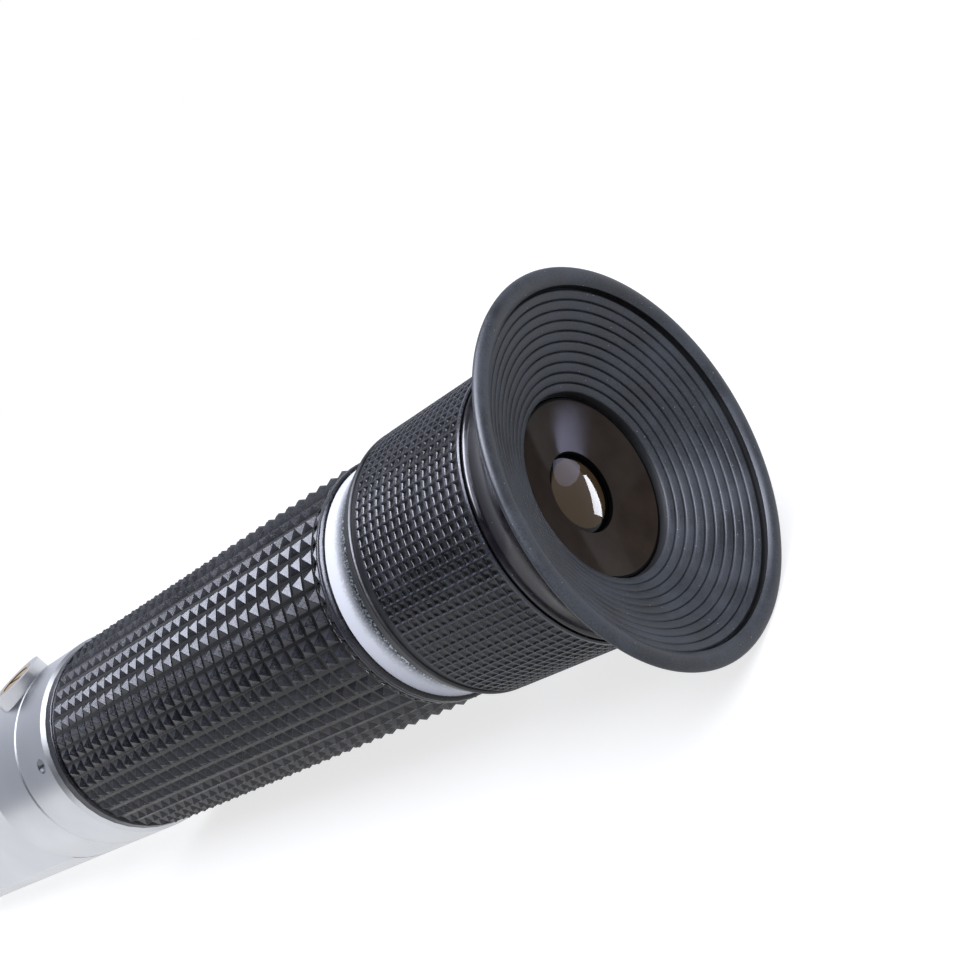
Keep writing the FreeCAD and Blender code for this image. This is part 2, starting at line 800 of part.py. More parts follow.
def field_lens_retainer():
    return tube(cell_rear, cell_rear + field_retainer_len, cell_bore_r, field_lens_r)


def cup_spigot_r():
    return sleeve_seat_r - cup_spigot_step


def focus_ring():
    """Turns on the neck. Its front spigot carries the eye cup."""
    recess_r = flange_r + seat_gap
    recess_end = neck_start + travel_in + free_gap
    band_front = ring_rear + ring_band
    band_r = sleeve_tip_r
    bead_x = band_front - ring_band / 2
    spigot_front = ring_front + cup_spigot_len
    groove_r = cup_spigot_r() - cup_groove_depth
    return turned((ring_rear, recess_r), (recess_end, recess_r), (recess_end, ring_bore_r),
                  (web_rear, ring_bore_r), (web_rear, cell_neck_r + run_gap),
                  (ring_front, cell_neck_r + run_gap), (ring_front, retainer_r + slide_gap),
                  (spigot_front, retainer_r + slide_gap), (spigot_front, cup_spigot_r()),
                  (ring_front + cup_groove_len, cup_spigot_r()), (ring_front + cup_groove_len, groove_r),
                  (ring_front, groove_r), (ring_front, sleeve_seat_r), (band_front, sleeve_seat_r),
                  (band_front, band_r - ring_bead), (bead_x + ring_bead, band_r - ring_bead),
                  (bead_x, band_r, bead_x - ring_bead, band_r - ring_bead),
                  (ring_rear, band_r - ring_band_drop))


def focus_ring_rubber():
    inner = sleeve_seat_r + seat_gap
    rear = ring_rear + ring_band
    floor_width = 2 * math.pi * sleeve_root_r / sleeve_ribs - sleeve_rib_width
    middle = ribbed_sleeve(rear, ring_front - sleeve_band, inner, sleeve_root_r, sleeve_tip_r,
                           sleeve_ribs, floor_width, sleeve_rib_width)
    return middle.fuse(tube(ring_front - sleeve_band, ring_front, inner, sleeve_tip_r)).removeSplitter()


def cone_ribs_outline():
    """Flat-topped ribs down the inner cone, from the groove inside the rim to the throat."""
    run_x = -(throat_depth - rim_lip_r)
    run_r = throat_r - (rim_r - 2 * rim_lip_r)
    slant = math.hypot(run_x, run_r)
    cone_x = rim - rim_lip_r
    cone_r = rim_r - 2 * rim_lip_r
    steps = []
    for i in range(cone_ribs):
        for share, rise in ((rib_flank, rib_bulge), (1 - rib_flank, rib_bulge), (1, 0)):
            place = (i + share) / cone_ribs
            steps.append((cone_x + place * run_x - rise * run_r / slant,
                          cone_r + place * run_r + rise * run_x / slant))
    return steps


def eye_cup():
    """Soft cup: rounded rim, ribbed inner cone, short throat and a hollow flare behind."""
    base_r = sleeve_tip_r - cup_base_step
    inner_r = cup_spigot_r() + seat_gap
    groove_r = inner_r - cup_groove_depth
    groove_x = ring_front + cup_groove_len - seat_gap
    shelf = ring_front + cup_spigot_len
    bead_x = ring_front + cup_bead
    flare_x = bead_x + cup_bead / 2
    flare_r = base_r - cup_bead
    rim_x = rim - rim_lip_r
    cone_r = rim_r - 2 * rim_lip_r
    reach = math.hypot(rim_x - flare_x, rim_r - flare_r)
    hollow_x = (flare_x + rim_x) / 2 + flare_hollow * (rim_r - flare_r) / reach
    hollow_r = (flare_r + rim_r) / 2 - flare_hollow * (rim_x - flare_x) / reach
    return turned((shelf, throat_r), (shelf, inner_r), (groove_x, inner_r),
                  (groove_x, groove_r), (ring_front, groove_r), (ring_front, base_r),
                  (bead_x, base_r), (flare_x, flare_r), (hollow_x, hollow_r, rim_x, rim_r),
                  (rim, rim_r - rim_lip_r, rim_x, cone_r), (rim_x - rim_groove, cone_r - seat_gap),
                  (rim_x, cone_r - rim_groove / 2), *cone_ribs_outline())


NODES = (body_tube, rubber_grip, eyepiece_mount, guide_pin, prism_head, head_set_screws, main_prism,
         prism_seal, prism_aperture, hinge_pin, daylight_plate, plate_hinge, plate_screws,
         calibration_bush, calibration_screw, calibration_clip, carrier_guide, objective_carrier,
         bimetal_strip, bimetal_screws, objective_cell, objective_flint, objective_crown,
         objective_retainer, front_baffle, rear_baffle, reticle_cell, scale_reticle, reticle_retainer,
         lens_cell, eye_lens, eye_lens_retainer, field_lens, field_lens_retainer, focus_ring,
         focus_ring_rubber, eye_cup)


def main():
    os.makedirs("parts", exist_ok=True)
    for make in NODES:
        shape = make()
        shape.exportStep(f"parts/{make.__name__}.step")
        box = shape.BoundBox
        print(f"{make.__name__}: {len(shape.Solids)} solids, valid {shape.isValid()}, "
              f"{shape.Volume:.1f} mm3, x {box.XMin:.2f} to {box.XMax:.2f}, z {box.ZMin:.2f} to {box.ZMax:.2f}")
    print(f"focus ring turns {focus_turn_in:.0f} degrees in and {focus_turn_out:.0f} out, "
          f"daylight plate opens {plate_opening:.0f}")


main()
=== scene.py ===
# %% [markdown]
# # A handheld refractometer, seen from its eyepiece
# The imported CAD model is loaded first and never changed. It gives every piece its place and size.
# This notebook then dresses it: rubber pieces get the fine relief that the CAD leaves out, and
# every piece gets the finish that the real one has. Lengths are written in millimetres and turned
# to metres by one factor, because Blender works in metres.

# %% Load the CAD model
import json
import math

import bmesh
import bpy
from mathutils import Matrix, Vector


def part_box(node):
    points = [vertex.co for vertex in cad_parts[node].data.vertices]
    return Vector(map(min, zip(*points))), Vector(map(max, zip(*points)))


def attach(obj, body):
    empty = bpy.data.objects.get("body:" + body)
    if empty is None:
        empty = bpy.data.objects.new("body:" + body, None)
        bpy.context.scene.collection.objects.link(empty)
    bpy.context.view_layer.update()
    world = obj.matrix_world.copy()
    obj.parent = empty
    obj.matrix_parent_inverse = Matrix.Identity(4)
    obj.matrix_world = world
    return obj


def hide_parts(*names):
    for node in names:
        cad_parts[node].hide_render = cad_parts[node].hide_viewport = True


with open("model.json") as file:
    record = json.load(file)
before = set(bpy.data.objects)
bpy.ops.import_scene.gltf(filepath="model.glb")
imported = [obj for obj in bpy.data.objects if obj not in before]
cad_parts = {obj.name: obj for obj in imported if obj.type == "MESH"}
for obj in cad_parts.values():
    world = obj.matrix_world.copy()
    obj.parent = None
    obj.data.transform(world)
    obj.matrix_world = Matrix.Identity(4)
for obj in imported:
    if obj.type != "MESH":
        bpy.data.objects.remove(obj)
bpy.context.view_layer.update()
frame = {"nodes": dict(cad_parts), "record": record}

mm = 0.001

# %% [markdown]
# The optical axis is the X axis, so nearly every piece is turned about it. These stations are
# read from the CAD boxes, so the relief made here always sits on the solid that it replaces.

# %% Stations along the axis
grip_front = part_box("rubber_grip")[0].x / mm
grip_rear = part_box("rubber_grip")[1].x / mm
net_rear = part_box("focus_ring_rubber")[0].x / mm
ring_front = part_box("focus_ring_rubber")[1].x / mm
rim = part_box("eye_cup")[1].x / mm
print("grip", round(grip_front, 2), round(grip_rear, 2), "net", round(net_rear, 2), round(ring_front, 2),
      "rim", round(rim, 2))

# %% [markdown]
# Three small helpers serve all the new pieces. `outline` lays vertices along a profile and joins
# them with edges, `turn` spins them about the axis, and `as_object` merges the seam, points the
# faces outwards, marks the edges that stay crisp and hands the piece over to its CAD body.

# %% Helpers for turned pieces
seam_gap = 0.002


def outline(bm, points):
    """A chain of edges in the XZ plane through (x, radius) points in mm."""
    verts = [bmesh.ops.create_vert(bm, co=(x * mm, 0, r * mm))["vert"][0] for x, r in points]
    for a, b in zip(verts, verts[1:]):
        bmesh.ops.contextual_create(bm, geom=[a, b])
    return verts


def turn(bm, steps):
    bmesh.ops.spin(bm, geom=bm.verts[:] + bm.edges[:], cent=(0, 0, 0), axis=(1, 0, 0), dvec=(0, 0, 0),
                   angle=2 * math.pi, steps=steps, use_merge=True, use_duplicate=False)


def as_object(bm, name, body, node, crisp):
    bmesh.ops.remove_doubles(bm, verts=bm.verts[:], dist=seam_gap * mm)
    bmesh.ops.recalc_face_normals(bm, faces=bm.faces[:])
    for face in bm.faces:
        face.smooth = True
    for edge in bm.edges:
        edge.smooth = edge.is_manifold and edge.calc_face_angle() < math.radians(crisp)
    closed = all(edge.is_manifold for edge in bm.edges)
    mesh = bpy.data.meshes.new(name)
    bm.to_mesh(mesh)
    bm.free()
    piece = bpy.data.objects.new(name, mesh)
    bpy.context.scene.collection.objects.link(piece)
    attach(piece, body)
    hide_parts(node)
    print(name, len(mesh.polygons), "faces, closed", closed)
    return piece


# %% [markdown]
# ## The studded grip
# The real grip is a moulded rubber sleeve with rows of four-sided studs. One row along the barrel
# is modelled flat and then repeated around it. A grid gives one cell for each stud, and extruded
# edges carry the row on into the smooth bands at both ends and down to the bore.

# %% Helpers for a row along the barrel
def strip_grid(bm, x_start, x_end, count, radius, half_angle):
    """A row of cells along the axis, as wide as one step around it."""
    made = bmesh.ops.create_grid(bm, x_segments=count, y_segments=1, size=1.0)
    bmesh.ops.scale(bm, verts=made["verts"],
                    vec=((x_end - x_start) / 2 * mm, radius * math.tan(half_angle) * mm, 1))
    bmesh.ops.translate(bm, verts=made["verts"], vec=((x_start + x_end) / 2 * mm, 0, radius * mm))
    return bm.faces[:]


def walk_edge(bm, edge, half_angle, places):
    """Extrudes the end edge of a row through (x, radius) places and gives back the last one."""
    for x, radius in places:
        made = bmesh.ops.extrude_edge_only(bm, edges=[edge])["geom"]
        edge = next(e for e in made if isinstance(e, bmesh.types.BMEdge))
        for v in edge.verts:
            side = math.copysign(1, v.co.y)
            v.co = Vector((x, side * radius * math.tan(half_angle), radius)) * mm
    return edge


def end_edge(bm, x):
    return min(bm.edges, key=lambda e: sum(abs(v.co.x - x * mm) for v in e.verts))


def around_axis(bm, count):
    bmesh.ops.spin(bm, geom=bm.verts[:] + bm.edges[:] + bm.faces[:], cent=(0, 0, 0), axis=(1, 0, 0),
                   dvec=(0, 0, 0), angle=2 * math.pi, steps=count, use_merge=False, use_duplicate=True)


# %% [markdown]
# The photo shows 41 rows with a stud every 2.1 mm, flat grooves between them, and a last row of
# studs that the mould cuts short beside the end band. The band itself has one fine line around
# it, and behind it a narrow dark gap before the silver ring.

# %% One row of the grip
studs_around = 41
stud_pitch = 2.125
stud_count = 29
cut_stud = 0.92
end_band = 2.12
grip_root = 13.72
grip_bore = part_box("body_tube")[1].z / mm + 0.02
half_turn = math.pi / studs_around
studs_end = grip_rear - end_band
studs_start = studs_end - stud_count * stud_pitch

bm = bmesh.new()
studs = strip_grid(bm, studs_start, studs_end, stud_count, grip_root, half_turn)
rear_steps = [(cut_stud, 0), (1.0, 0.2), (1.1, 0.3), (1.4, 0.32), (1.45, 0.24), (1.5, 0.32),
              (1.78, 0.3), (1.94, 0.2), (2.06, 0.02), (2.1, -0.12), (end_band, -0.16)]
front_steps = [(0.5, 0), (0.6, 0.3), (0.7, 0.37), (2.1, 0.37), (studs_start - grip_front, 0.2)]
rear_places = [(studs_end + x, grip_root + rise) for x, rise in rear_steps]
front_places = [(studs_start - x, grip_root + rise) for x, rise in front_steps]
rear = walk_edge(bm, end_edge(bm, studs_end), half_turn, rear_places + [(grip_rear, grip_bore)])
front = walk_edge(bm, end_edge(bm, studs_start), half_turn, front_places + [(grip_front, grip_bore)])
bmesh.ops.contextual_create(bm, geom=[rear, front])
print("studs in one row:", len(studs))

# %% [markdown]
# An inset leaves the flat groove around each cell, and a poke raises its point. The studs of real
# rubber have soft ridges, so a small Bevel modifier rounds them: that is what catches the light.

# %% Studs
stud_margin = 0.26
stud_height = 0.64
cut_margin = 0.12
cut_height = 0.28
cut_studs = [f for f in bm.faces if studs_end < f.calc_center_median().x / mm < studs_end + cut_stud
             and f.calc_center_median().z > (grip_root - 0.1) * mm]
bmesh.ops.inset_individual(bm, faces=studs, thickness=stud_margin * mm, depth=0)
bmesh.ops.poke(bm, faces=studs, offset=stud_height * mm, center_mode="MEAN", use_relative_offset=False)
bmesh.ops.inset_individual(bm, faces=cut_studs, thickness=cut_margin * mm, depth=0)
bmesh.ops.poke(bm, faces=cut_studs, offset=cut_height * mm, center_mode="MEAN", use_relative_offset=False)
around_axis(bm, studs_around)
grip = as_object(bm, "grip_sleeve", "barrel", "rubber_grip", crisp=25)
ridges = grip.modifiers.new("ridges", "BEVEL")
ridges.width = 0.045 * mm
ridges.segments = 2
ridges.limit_method = "ANGLE"
ridges.angle_limit = math.radians(28)

# %% [markdown]
# ## The net on the focus ring
# The sleeve of the focus ring has a fine raised net. Here the ribs are what stays when the floor
# of each cell is pushed in. The first inset leaves the top of the rib, the second goes down its
# flank at 45 degrees, and the third rounds into the floor. The sloping flanks give the short
# bright dashes that the photo shows on the lit side.

# %% The net sleeve
net_around = 90
net_cells = 15
net_tip = 14.96
net_bore = 14.02
rear_rib = 0.1
front_rib = 0.3
net_half = math.pi / net_around
cells_start = net_rear + rear_rib
cells_end = ring_front - front_rib
bm = bmesh.new()
cells = strip_grid(bm, cells_start, cells_end, net_cells, net_tip, net_half)
rear = walk_edge(bm, end_edge(bm, cells_start), net_half, [(net_rear, net_tip - 0.1), (net_rear, net_bore)])
front = walk_edge(bm, end_edge(bm, cells_end), net_half,
                  [(ring_front - 0.12, net_tip), (ring_front, net_tip - 0.14), (ring_front, net_bore)])
bmesh.ops.contextual_create(bm, geom=[rear, front])
for thickness, depth in ((0.07, 0), (0.13, -0.17), (0.11, -0.06)):
    bmesh.ops.inset_individual(bm, faces=cells, thickness=thickness * mm, depth=depth * mm)
around_axis(bm, net_around)
net = as_object(bm, "focus_net_sleeve", "focus_ring", "focus_ring_rubber", crisp=40)

# %% [markdown]
# ## The eye cup
# One outline, spun about the axis, makes the whole cup. It starts at the throat, goes round the
# seat on the focus ring and out along the hollow flare, rolls over the soft rim and comes back
# down the cone. Inside the rim is a deep notch, which the photo shows as a black line.

# %% Outline of the flare and the rim
cone_slope = 0.572
throat = 9.45
cup_seat = 12.41
flare = [(1.8, throat), (1.8, cup_seat), (0.05, cup_seat), (0.05, 14.5), (0.14, 14.68), (0.32, 14.72),
         (0.46, 14.62), (0.58, 14.36), (1.4, 14.42), (2.8, 14.85), (4.4, 15.8), (5.8, 17.15), (6.8, 18.45),
         (7.2, 19.02), (7.5, 19.46), (7.74, 19.76), (7.95, 19.94)]
lip = [(0.45, 20.0), (0.27, 19.88), (0.12, 19.68), (0.02, 19.35), (0.0, 18.95), (0.1, 18.6), (0.3, 18.32),
       (0.55, 18.14), (0.68, 18.2), (0.76, 18.5), (1.26, 18.54), (1.36, 18.2)]
cup_points = [(ring_front + x, r) for x, r in flare] + [(rim - x, r) for x, r in lip]

# %% [markdown]
# The cone has ten rings. Each one rises a little towards the eye lens, so its inner edge catches
# the light, and drops into a narrow groove. `on_cone` finds a point from its radius and from how
# far it stands above the cone, so every ring has the same section.

# %% Rings of the cone
ring_edges = (17.96, 17.12, 16.27, 15.42, 14.57, 13.7, 12.85, 11.97, 11.1, 10.25, throat)
ring_section = ((0.05, -0.2), (0.13, 0.0), (0.22, 0.03), (0.5, 0.04), (0.84, 0.06), (0.92, 0.03),
                (0.97, -0.06))
cone_edge = 18.1
cone_inset = 0.95
cone_cosine = 1 / math.hypot(1, cone_slope)
cone_sine = cone_slope * cone_cosine
cup_spin_steps = 192


def on_cone(radius, rise):
    """A point of the cone at this radius, raised square to it."""
    on_surface = rim - cone_inset - cone_slope * (cone_edge - radius)
    return (on_surface + cone_cosine * rise, radius - cone_sine * rise)


for outer, inner in zip(ring_edges, ring_edges[1:]):
    cup_points += [on_cone(outer - share * (outer - inner), rise) for share, rise in ring_section]
cup_points.append((on_cone(throat, 0)[0] - 0.1, throat))
bm = bmesh.new()
verts = outline(bm, cup_points)
bmesh.ops.contextual_create(bm, geom=[verts[-1], verts[0]])
turn(bm, cup_spin_steps)
cup = as_object(bm, "eye_cup_rubber", "focus_ring", "eye_cup", crisp=60)

# %% [markdown]
# ## The dished plate and the eye lens
# Both are polished, so any facet would show in their reflections. They are spun again here with
# many more steps than the CAD mesh has, from the stations of the CAD solids. The plate is a disc
# whose face curves down to the hole, and the lens is bounded by two spheres. The short wall of the
# hole and the outer edge are matt black, partly as on a real eyepiece, to keep stray light down,
# and partly as painted shade for the shadow that lies there.

# %% The dished plate
plate_low, plate_high = (corner.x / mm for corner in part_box("eye_lens_retainer"))
plate_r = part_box("eye_lens_retainer")[1].z / mm
hole_r = 4.15
dish = 1.4
hole_wall = 0.5
plate_seat = 6.9
dish_steps = 10
plate_spin_steps = 160
hole_front = plate_high - dish
plate_points = [(plate_low + 0.6, plate_seat), (hole_front - hole_wall, plate_seat),
                (hole_front - hole_wall, hole_r), (hole_front - 0.05, hole_r)]
for i in range(dish_steps + 1):
    share = i / dish_steps
    plate_points.append((hole_front + dish * (0.75 * share + 0.25 * share ** 2),
                         hole_r + 0.05 + share * (plate_r - 0.35 - hole_r)))
plate_points += [(plate_high, plate_r - 0.1), (plate_high - 0.1, plate_r), (plate_low + 0.6, plate_r)]
bm = bmesh.new()
verts = outline(bm, plate_points)
bmesh.ops.contextual_create(bm, geom=[verts[-1], verts[0]])
turn(bm, plate_spin_steps)
plate = as_object(bm, "dished_plate", "lens_cell", "eye_lens_retainer", crisp=15)

# %% [markdown]
# The eye lens bulges a little more towards the eye than away from it, as a magnifier does. Both
# faces are parts of spheres. Their depth is worked out ring by ring and the outline is spun, which
# gives a smoother face than a subdivided ball cut down to size.

# %% The eye lens
lens_rear, lens_front = (corner.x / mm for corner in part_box("eye_lens"))
lens_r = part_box("eye_lens")[1].z / mm
front_curve = 18.0
rear_curve = 30.0
lens_rings = 12
lens_spin_steps = 96


def sag(curve, radius):
    """Depth of a sphere of this curve at this distance from its middle."""
    return curve - math.sqrt(curve ** 2 - radius ** 2)


radii = [lens_r * i / lens_rings for i in range(lens_rings + 1)]
lens_points = [(lens_front - sag(front_curve, r), r) for r in radii]
lens_points += [(lens_rear + sag(rear_curve, r), r) for r in reversed(radii)]
bm = bmesh.new()
outline(bm, lens_points)
turn(bm, lens_spin_steps)
lens = as_object(bm, "eye_lens_glass", "lens_cell", "eye_lens", crisp=30)

# %% [markdown]
# ## Materials
# Colours are written as they look on a screen and turned to the linear values that the renderer
# works in. `add` puts one node in a tree, with its settings and its links. Patterns read object
# coordinates, which are metres on the real object, so their scales come from real sizes.

# %% Colour and node helpers
def srgb(code):
    parts = [int(code[i:i + 2], 16) / 255 for i in (1, 3, 5)]
    return [c / 12.92 if c <= 0.04045 else ((c + 0.055) / 1.055) ** 2.4 for c in parts] + [1.0]


def add(tree, kind, settings=(), links=()):
    made = tree.nodes.new("ShaderNode" + kind)
    for name, value in dict(settings).items():
        if isinstance(name, str) and hasattr(made, name):
            setattr(made, name, value)
        else:
            made.inputs[name].default_value = value
    for name, source in dict(links).items():
        tree.links.new(source, made.inputs[name])
    return made


def start_material(name):
    """An empty material, with its node tree and the position on the object in metres."""
    material = bpy.data.materials.new(name)
    material.use_nodes = True
    material.node_tree.nodes.clear()
    place = add(material.node_tree, "TexCoord").outputs["Object"]
    return material, material.node_tree, place


def end_material(tree, surface):
    add(tree, "OutputMaterial", links={"Surface": surface.outputs[0]})


def per(size):
    """Texture scale whose features are about this many millimetres across."""
    return 1 / (size * mm)


# %% [markdown]
# ### Rubber
# The grip, the net and the cup are moulded rubber. Moulded rubber is never one even black: the
# mould leaves a fine grit, handling polishes it in clouds, and lint clings to it. So a soft cloud
# and a fine grit share the tint and the roughness, the grit also gives a little relief, and tiny
# cells of a Voronoi pattern, where one happens to touch the surface, are the lint. The valleys of
# a relief get a painted shade that darkens the tint: the distance from the axis tells them.

# %% Rubber
lint_spacing = 0.95
lint_size = 0.05


def rubber(name, dark, light, rough, level, grit_size, relief, lint, painted_shade_radii=None):
    """Moulded rubber. The optional radii of the deepest and highest relief bound a painted shade in the
    valleys.
    """
    material, tree, place = start_material(name)
    cloud = add(tree, "TexNoise", {"Scale": per(4), "Detail": 4}, {"Vector": place})
    grit = add(tree, "TexNoise", {"Scale": per(grit_size), "Detail": 3}, {"Vector": place})
    both = add(tree, "Math", {"operation": "ADD"}, {0: cloud.outputs["Fac"], 1: grit.outputs["Fac"]})
    share = add(tree, "MapRange", {"From Min": 0.8, "From Max": 1.2}, {"Value": both.outputs[0]})
    tint = add(tree, "Mix", {"data_type": "RGBA", 6: srgb(dark), 7: srgb(light)},
               {0: share.outputs["Result"]})
    # Painted shade: the tint darkens to near black towards the deepest radius, where the grooves lie in
    # shade.
    if painted_shade_radii:
        flat = add(tree, "VectorMath", {"operation": "MULTIPLY", 1: (0, 1, 1)}, {0: place})
        away = add(tree, "VectorMath", {"operation": "LENGTH"}, {0: flat.outputs[0]})
        height = add(tree, "MapRange", {"From Min": painted_shade_radii[0] * mm, "From Max": painted_shade_radii[1] * mm},
                     {"Value": away.outputs["Value"]})
        tint = add(tree, "Mix", {"data_type": "RGBA", 6: srgb("#060607")},
                   {0: height.outputs["Result"], 7: tint.outputs[2]})
    spots = add(tree, "TexVoronoi", {"Scale": per(lint_spacing)}, {"Vector": place})
    near = add(tree, "Math", {"operation": "LESS_THAN", 1: lint_size}, {0: spots.outputs["Distance"]})
    amount = add(tree, "Math", {"operation": "MULTIPLY", 1: lint}, {0: near.outputs[0]})
    dusty = add(tree, "Mix", {"data_type": "RGBA", 7: srgb("#B4B8BD")},
                {0: amount.outputs[0], 6: tint.outputs[2]})
    spread = add(tree, "MapRange", {"To Min": rough - 0.08, "To Max": rough + 0.08},
                 {"Value": share.outputs["Result"]})
    bump = add(tree, "Bump", {"Strength": relief, "Distance": 0.02 * mm}, {"Height": grit.outputs["Fac"]})
    end_material(tree, add(tree, "BsdfPrincipled", {"Specular IOR Level": level},
                           {"Base Color": dusty.outputs[2], "Roughness": spread.outputs["Result"],
                            "Normal": bump.outputs[0]}))
    return material


grip.data.materials.append(rubber("moulded_grip_rubber", "#212228", "#34353D", 0.29, 0.34, 0.22, 0.5, 0.6,
                                  painted_shade_radii=(grip_root + 0.02, grip_root + 0.3)))
net.data.materials.append(rubber("moulded_net_rubber", "#2B2D35", "#3F414A", 0.28, 0.45, 0.18, 0.4, 0.6,
                                 painted_shade_radii=(net_tip - 0.22, net_tip - 0.03)))

# %% [markdown]
# The cup is a softer rubber. Inside it is matt slate grey, from a blasted mould. Behind the rim
# it is darker and glossy, from a polished one, and the two meet at the parting line, just behind
# the widest part. The short wall of the throat and the notch under the rim get a near-black
# painted shade, for the shadow that fills them.

# %% Finishes of the cup
cup.data.materials.append(rubber("soft_cup_rubber_inside", "#24282E", "#40454D", 0.5, 0.4, 0.14, 0.12, 0.8))
cup.data.materials.append(rubber("soft_cup_rubber_outside", "#1E1C21", "#28262B", 0.18, 0.5, 3.0, 0.0, 0.4))
cup.data.materials.append(rubber("soft_cup_rubber_painted_shade", "#0B0B0C", "#121213", 0.6, 0.3, 0.15, 0.3, 0.1))
notch_radii = (18.16, 18.7)
notch_depths = (0.68, 1.4)
parting_depth = 0.7
for face in cup.data.polygons:
    x, y, z = face.center / mm
    radius = math.hypot(y, z)
    below_cone = on_cone(radius, 0)[0] - x
    notch_painted_dark = (notch_radii[0] < radius < notch_radii[1]
                and notch_depths[0] < rim - x < notch_depths[1])
    throat_painted_dark = radius < throat + 0.04 and below_cone > 0.05
    # Painted shade: the notch and the throat wall take the near-black third finish.
    if notch_painted_dark or throat_painted_dark:
        face.material_index = 2
    elif below_cone > parting_depth:
        face.material_index = 1
print("faces inside, behind and in the throat:",
      [sum(f.material_index == i for f in cup.data.polygons) for i in range(3)])

# %% [markdown]
# ### Metal
# Turned metal carries the fine lines of the lathe. They depend only on how far a point lies along
# the turning axis and away from it, so a one-dimensional noise on the sum of both draws them on
# side and end faces alike. They are drawn about 0.1 mm apart, coarser than the real ones, so that
# they show. A soft cloud adds the uneven shine of handled metal.

# %% Turned metal
def turned_metal(name, dark, light, rough, centre, axis, line=0.1, relief=0.15):
    material, tree, place = start_material(name)
    moved = add(tree, "VectorMath", {"operation": "SUBTRACT", 1: centre * mm}, {0: place})
    along = add(tree, "VectorMath", {"operation": "DOT_PRODUCT", 1: axis}, {0: moved.outputs[0]})
    across = add(tree, "VectorMath", {"operation": "CROSS_PRODUCT", 1: axis}, {0: moved.outputs[0]})
    away = add(tree, "VectorMath", {"operation": "LENGTH"}, {0: across.outputs[0]})
    reach = add(tree, "Math", {"operation": "ADD"}, {0: along.outputs["Value"], 1: away.outputs["Value"]})
    lines = add(tree, "TexNoise", {"noise_dimensions": "1D", "Scale": per(line), "Detail": 2},
                {"W": reach.outputs[0]})
    cloud = add(tree, "TexNoise", {"Scale": per(3), "Detail": 4}, {"Vector": place})
    share = add(tree, "MapRange", {"From Min": 0.35, "From Max": 0.65}, {"Value": cloud.outputs["Fac"]})
    tint = add(tree, "Mix", {"data_type": "RGBA", 6: srgb(dark), 7: srgb(light)},
               {0: share.outputs["Result"]})
    spread = add(tree, "MapRange", {"To Min": rough - 0.08, "To Max": rough + 0.1},
                 {"Value": lines.outputs["Fac"]})
    bump = add(tree, "Bump", {"Strength": relief, "Distance": 0.01 * mm}, {"Height": lines.outputs["Fac"]})
    end_material(tree, add(tree, "BsdfPrincipled", {"Metallic": 1.0},
                           {"Base Color": tint.outputs[2], "Roughness": spread.outputs["Result"],
                            "Normal": bump.outputs[0]}))
    return material


def middle(node):
    low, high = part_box(node)
    return (low + high) / 2 / mm


optical_axis = Vector((1, 0, 0))
upright = Vector((0, 0, 1))
across_head = Vector((0, 1, 0))
finishes = {
    "tube_alloy": turned_metal("drawn_aluminium", "#8E9094", "#9DA0A4", 0.38, Vector(), optical_axis),
    "brass": turned_metal("turned_brass", "#B08D4A", "#C8A766", 0.28, middle("calibration_screw"), upright),
    "steel": turned_metal("zinc_plated_steel", "#9B9DA1", "#B4B6BA", 0.3, middle("hinge_pin"), across_head)}

# %% [markdown]
# Cast, blasted and plated metal has no direction. The satin chrome on the cast head and the
# nickel on the hinge get a fine even grain that breaks up the highlight, the black anodising
# inside gets a coarser one, and the rolled strip keeps the lines of the rolls, stretched along it.

# %% Blasted, plated and rolled metal
def grained_metal(name, dark, light, rough, grain, relief, stretch=(1, 1, 1), metallic=1.0):
    material, tree, place = start_material(name)
    laid = add(tree, "Mapping", {"Scale": stretch}, {"Vector": place})
    fine = add(tree, "TexNoise", {"Scale": per(grain), "Detail": 2}, {"Vector": laid.outputs[0]})
    cloud = add(tree, "TexNoise", {"Scale": per(9), "Detail": 2}, {"Vector": place})
    share = add(tree, "MapRange", {"From Min": 0.3, "From Max": 0.7}, {"Value": cloud.outputs["Fac"]})
    tint = add(tree, "Mix", {"data_type": "RGBA", 6: srgb(dark), 7: srgb(light)},
               {0: share.outputs["Result"]})
    spread = add(tree, "MapRange", {"To Min": rough - 0.06, "To Max": rough + 0.08},
                 {"Value": fine.outputs["Fac"]})
    bump = add(tree, "Bump", {"Strength": relief, "Distance": 0.015 * mm}, {"Height": fine.outputs["Fac"]})
    end_material(tree, add(tree, "BsdfPrincipled", {"Metallic": metallic},
                           {"Base Color": tint.outputs[2], "Roughness": spread.outputs["Result"],
                            "Normal": bump.outputs[0]}))
    return material


finishes["satin_alloy"] = grained_metal("satin_chrome_on_zinc", "#C6C8CB", "#CFD1D4", 0.34, 0.12, 0.35)
finishes["hinge_metal"] = grained_metal("satin_nickel", "#B5B3AC", "#C4C2BB", 0.28, 0.1, 0.2)
finishes["black_alloy"] = grained_metal("black_anodised_aluminium", "#131417", "#1C1D20", 0.45, 0.15, 0.3,
                                        metallic=0.6)
finishes["bimetal"] = grained_metal("rolled_bimetal", "#A08F74", "#B3A48A", 0.35, 0.1, 0.3,
                                    stretch=(0.05, 1, 1))

# %% [markdown]
# ### The silver ring
# The ring between grip and focus ring has two finishes. Its flange has a pale milky satin chrome,
# so it scatters light nearly as white paint does and shows no hard reflection. Its shoulder was
# masked off and bead blasted, so it is bare and sparkles; its dark grey is partly painted shade,
# for where it rounds down under the focus ring. The place along the axis decides, and the noise
# of the beads is added to it, so the border between the two is ragged.

# %% Silver ring
flange_length = 2.2
bead_size = 0.26
border_raggedness = 1.6
border_start = 0.2
border_end = 1.6


